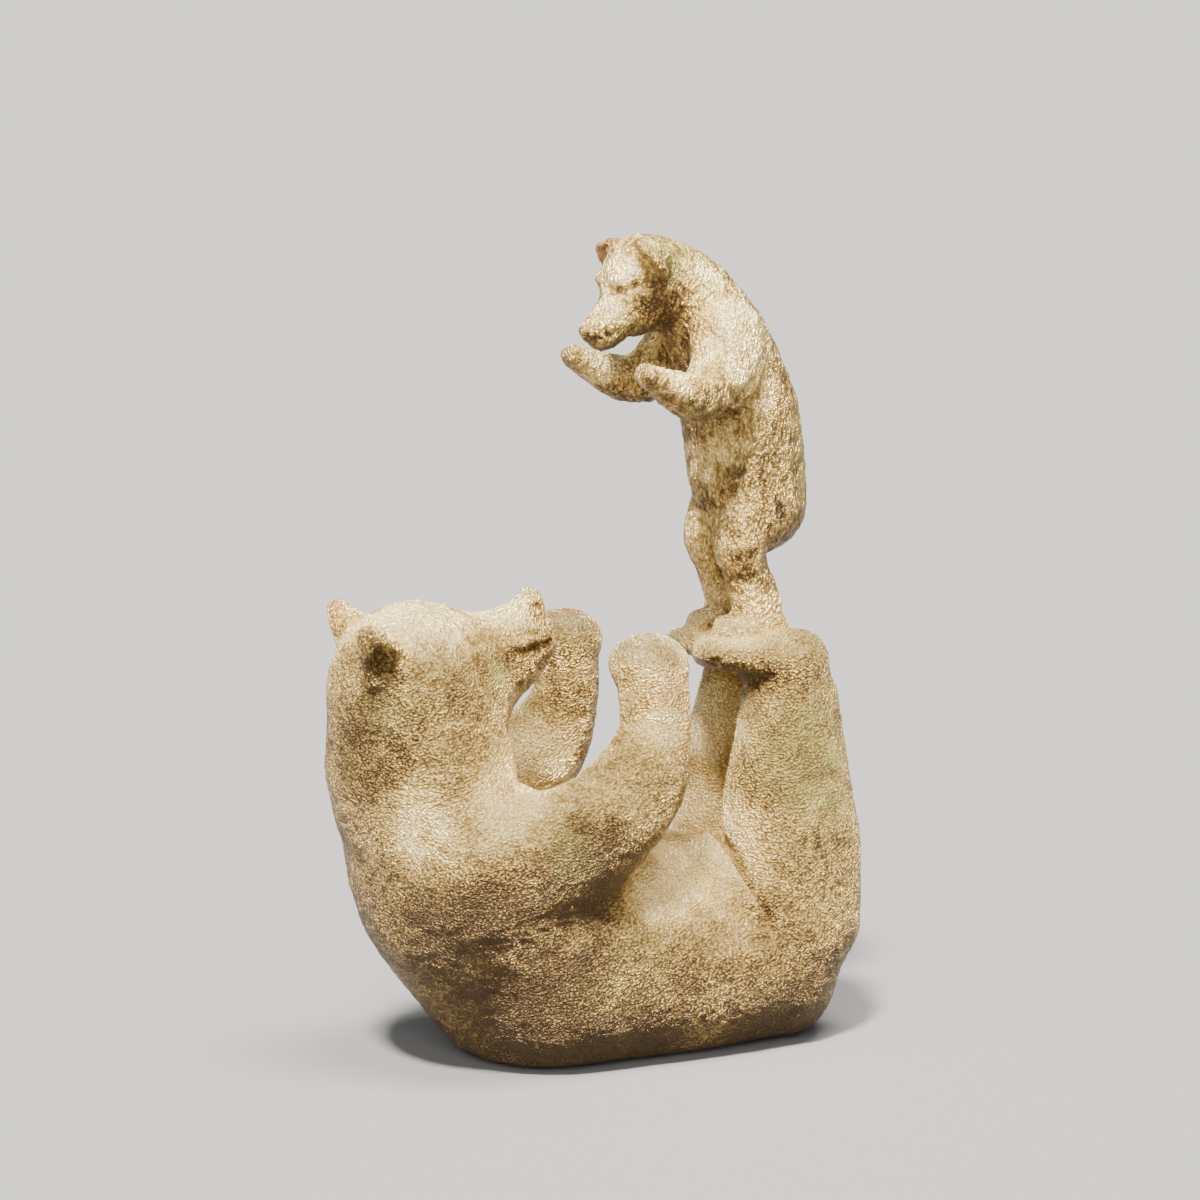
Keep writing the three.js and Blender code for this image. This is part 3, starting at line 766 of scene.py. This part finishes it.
def add_node(tree, kind, inputs=None, **settings):
    made = tree.nodes.new(kind)
    for key, value in settings.items():
        setattr(made, key, value)
    for key, value in (inputs or {}).items():
        if isinstance(value, bpy.types.NodeSocket):
            tree.links.new(value, made.inputs[key])
        else:
            made.inputs[key].default_value = value
    return made


def attribute(tree, name):
    return add_node(tree, "ShaderNodeAttribute", attribute_name=name).outputs["Fac"]


def math_node(tree, operation, *values, clamp=False):
    return add_node(tree, "ShaderNodeMath", dict(enumerate(values)),
                    operation=operation, use_clamp=clamp).outputs[0]


def spread(tree, value, low, high, to_low=0.0, to_high=1.0):
    """Maps low..high to to_low..to_high, clamped."""
    inputs = {"Value": value, "From Min": low, "From Max": high, "To Min": to_low, "To Max": to_high}
    return add_node(tree, "ShaderNodeMapRange", inputs).outputs["Result"]


def mixed(tree, share, first, second, blend="MIX"):
    made = add_node(tree, "ShaderNodeMix", data_type="RGBA", blend_type=blend)
    for socket, value in ((made.inputs[0], share), (made.inputs[6], first), (made.inputs[7], second)):
        if isinstance(value, bpy.types.NodeSocket):
            tree.links.new(value, socket)
        else:
            socket.default_value = value
    return made.outputs[2]


def object_noise(tree, place, scale, detail=2.0, distortion=0.0, roughness=0.5):
    inputs = {"Vector": place, "Scale": scale, "Detail": detail, "Distortion": distortion,
              "Roughness": roughness}
    return add_node(tree, "ShaderNodeTexNoise", inputs).outputs["Fac"]


SOLES_UP = 0.13          # height where the strokes turn from level to upright, in metres
CUB_UP = SOLES_UP + 0.01
LEVEL_DRAW = 1.35        # how much the grain is flattened on the mother
UPRIGHT_DRAW = 0.65      # and drawn out in height on the cub

CREAM = (1, 0.79, 0.39, 1)
PALE_GOLD = (0.58, 0.4, 0.135, 1)
OCHRE = (0.26, 0.16, 0.046, 1)
BROWN = (0.075, 0.043, 0.016, 1)
OLIVE = (0.36, 0.33, 0.1, 1)
RUST = (0.5, 0.2, 0.07, 1)


def bronze_material():
    material = bpy.data.materials.new("patinated_bronze")
    material.use_nodes = True
    tree = material.node_tree
    shader = tree.nodes["Principled BSDF"]
    place = add_node(tree, "ShaderNodeTexCoord").outputs["Object"]
    across, deep, height_up = add_node(tree, "ShaderNodeSeparateXYZ", {"Vector": place}).outputs
    drawn_up = math_node(
        tree, "ADD", spread(tree, height_up, 0.0, SOLES_UP, 0.0, LEVEL_DRAW * SOLES_UP),
        spread(tree, height_up, SOLES_UP, 2 * SOLES_UP, 0.0, UPRIGHT_DRAW * SOLES_UP))
    stroked = add_node(tree, "ShaderNodeCombineXYZ", {0: across, 1: deep, 2: drawn_up}).outputs[0]
    wear_and_light, shade_and_grime, green, red, touch, closed = [
        attribute(tree, n) for n in ("wear_and_light", "shade_and_grime", "green", "red", "relief", "fold_shade")]

    # Grain of the casting: crumbs about 1 mm apart, with pits between them and finer specks
    sway = add_node(tree, "ShaderNodeTexNoise", {"Vector": place, "Scale": 600.0, "Detail": 2.0})
    swayed = add_node(tree, "ShaderNodeVectorMath",
                      {0: sway.outputs["Color"], 1: (0.0014, 0.0014, 0.0014), 2: stroked},
                      operation="MULTIPLY_ADD").outputs[0]
    crumbs = add_node(tree, "ShaderNodeTexVoronoi", {"Vector": swayed, "Scale": 980.0})
    crumbs = spread(tree, crumbs.outputs["Distance"], 0.15, 0.75, 1.0, 0.0)
    granules = spread(tree, object_noise(tree, stroked, 1050, detail=3, roughness=0.65), 0.37, 0.63)
    specks = object_noise(tree, place, 2200, detail=1)
    grain = math_node(tree, "MULTIPLY_ADD", granules, 0.3, math_node(tree, "MULTIPLY", crumbs, 0.6))
    grain = math_node(tree, "MULTIPLY_ADD", specks, 0.35, grain)
    rough_share = spread(tree, wear_and_light, 0.0, 1.0, 1.0, 0.75)
    bump_height = math_node(tree, "MULTIPLY", grain,
                            spread(tree, height_up, SOLES_UP, CUB_UP, 1.0, 0.45))

    # Patina: pale on what stands proud, brown in what lies deep, with painted light and painted shade
    # laid over it
    patches = object_noise(tree, place, 32, detail=5, distortion=0.6, roughness=0.6)
    drift = object_noise(tree, place, 90, detail=4, roughness=0.6)
    # Which way each face turns, for painted light on top and painted shade beneath
    normal = add_node(tree, "ShaderNodeNewGeometry").outputs["Normal"]
    facing_up = add_node(tree, "ShaderNodeSeparateXYZ", {"Vector": normal}).outputs["Z"]
    painted_top_light = spread(tree, facing_up, -0.9, 0.9, 0.0, 1.0)
    on_cub = spread(tree, height_up, SOLES_UP, CUB_UP, 1.0, 0.75)
    level = math_node(tree, "MULTIPLY", spread(tree, grain, 0.25, 0.95, -0.32, 0.32), rough_share)
    level = math_node(tree, "MULTIPLY", level, on_cub)
    for value, low, high, to_low, to_high in (
            (touch, -0.15, 0.3, -0.2, 0.2),
            # Wear, made paler, and painted light: highlights on top-lit parts and paleness over cast
            # shadows
            (wear_and_light, 0.0, 1.0, 0.0, 0.5),
            # Painted shade on the lower flank, under the jaw and soles and in the eyes, together with
            # wax and dirt
            (shade_and_grime, 0.0, 1.0, 0.0, -0.36),
            # Painted shade: darker within 6 cm of the ground
            (height_up, 0.0, 0.06, -0.18, 0.0),
            (height_up, SOLES_UP, CUB_UP, 0.0, -0.1),
            # Painted shade in folds and creases
            (closed, 0.0, 1.0, 0.02, -0.3),
            # Painted light and shade: paler on faces that turn up, darker on faces that turn down
            (painted_top_light, 0.0, 1.0, -0.36, 0.14),
            (patches, 0.3, 0.7, -0.12, 0.12),
            (drift, 0.3, 0.7, -0.1, 0.1)):
        level = math_node(tree, "ADD", level, spread(tree, value, low, high, to_low, to_high))
    level = math_node(tree, "ADD", level, 0.5, clamp=True)
    ramp = add_node(tree, "ShaderNodeValToRGB", {"Fac": level})
    stops = ramp.color_ramp.elements
    stops[0].position, stops[0].color = 0.0, BROWN
    stops[1].position, stops[1].color = 1.0, CREAM
    for position, colour in ((0.32, OCHRE), (0.64, PALE_GOLD)):
        stops.new(position).color = colour
    greenish = math_node(tree, "MULTIPLY", spread(tree, drift, 0.35, 0.6),
                         spread(tree, green, 0.1, 1.0, 0.0, 0.7))
    colour = mixed(tree, greenish, ramp.outputs["Color"], OLIVE)
    colour = mixed(tree, spread(tree, red, 0.1, 1.0, 0.0, 0.7), colour, RUST)

    bump = add_node(tree, "ShaderNodeBump", {"Height": bump_height, "Strength": 1.0, "Distance": 0.0024})
    tree.links.new(colour, shader.inputs["Base Color"])
    tree.links.new(spread(tree, level, 0.2, 0.9, 0.4, 0.27), shader.inputs["Roughness"])
    tree.links.new(bump.outputs["Normal"], shader.inputs["Normal"])
    shader.inputs["Metallic"].default_value = 0.75
    return material


# Stage

PHOTO_SIZE = 1200            # pixels along each side of the photograph
PIXELS_PER_MM = 3.2          # at the aim point
VIEW_TURN = -30.0            # degrees about Z from looking along +Y
VIEW_RISE = 8.5              # degrees above level
VIEW_DISTANCE = 1400.0
AIM_RIGHT = -12.5            # aim point, along the view's own right and up axes
AIM_UP = 136.6
SENSOR = 36.0
FLOOR_HALF = 30.0            # metres

# Name, where it shines from, power, colour and width in degrees
LIGHTS = [
    ("key", (-0.48, -0.5, 1.2), 16.5, (1, 0.96, 0.9), 7),
    ("top", (0.1, -0.35, 1.3), 8, (1, 0.97, 0.92), 24),
    ("fill", (-0.7, -1.0, 0.5), 4, (1, 0.98, 0.95), 35),
]


def view_axes():
    turn = math.radians(VIEW_TURN)
    rise = math.radians(VIEW_RISE)
    back = Vector((math.sin(turn) * math.cos(rise), -math.cos(turn) * math.cos(rise), math.sin(rise)))
    right = Vector((math.cos(turn), math.sin(turn), 0))
    return right, back.cross(right), back


def add_camera():
    right, up, back = view_axes()
    camera = bpy.data.objects.new("camera", bpy.data.cameras.new("camera"))
    place = (right * AIM_RIGHT + up * AIM_UP + back * VIEW_DISTANCE) * MM
    camera.matrix_world = Matrix.Translation(place) @ Matrix((right, up, back)).transposed().to_4x4()
    camera.data.sensor_width = SENSOR
    camera.data.lens = PIXELS_PER_MM * VIEW_DISTANCE * SENSOR / PHOTO_SIZE
    bpy.context.scene.collection.objects.link(camera)
    bpy.context.scene.camera = camera


def add_light(name, place, power, colour, wide):
    """A light from far away, so many degrees wide, that shines alike on all of the floor."""
    data = bpy.data.lights.new(name, "SUN")
    data.energy = power
    data.color = colour
    data.angle = math.radians(wide)
    light = bpy.data.objects.new(name, data)
    light.location = place
    light.rotation_euler = light.location.to_track_quat("Z", "Y").to_euler()
    bpy.context.scene.collection.objects.link(light)


def add_stage():
    corners = FLOOR_HALF * np.array([(-1, -1, 0), (1, -1, 0), (1, 1, 0), (-1, 1, 0)])
    floor = mesh_object("floor", corners, np.array([[0, 1, 2, 3]]))
    paper = bpy.data.materials.new("pale_floor")
    paper.use_nodes = True
    shader = paper.node_tree.nodes["Principled BSDF"]
    shader.inputs["Base Color"].default_value = (0.17, 0.17, 0.17, 1)
    shader.inputs["Roughness"].default_value = 0.8
    floor.data.materials.append(paper)
    for light in LIGHTS:
        add_light(*light)
    world = bpy.data.worlds.new("studio")
    world.use_nodes = True
    sky = world.node_tree.nodes["Background"]
    sky.inputs["Color"].default_value = (0.8, 0.82, 0.85, 1)
    sky.inputs["Strength"].default_value = 0.22
    bpy.context.scene.world = world


add_camera()
group = build_group()
group.data.materials.clear()
group.data.materials.append(bronze_material())
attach(group, "root")
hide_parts("bear_and_cub")
add_stage()
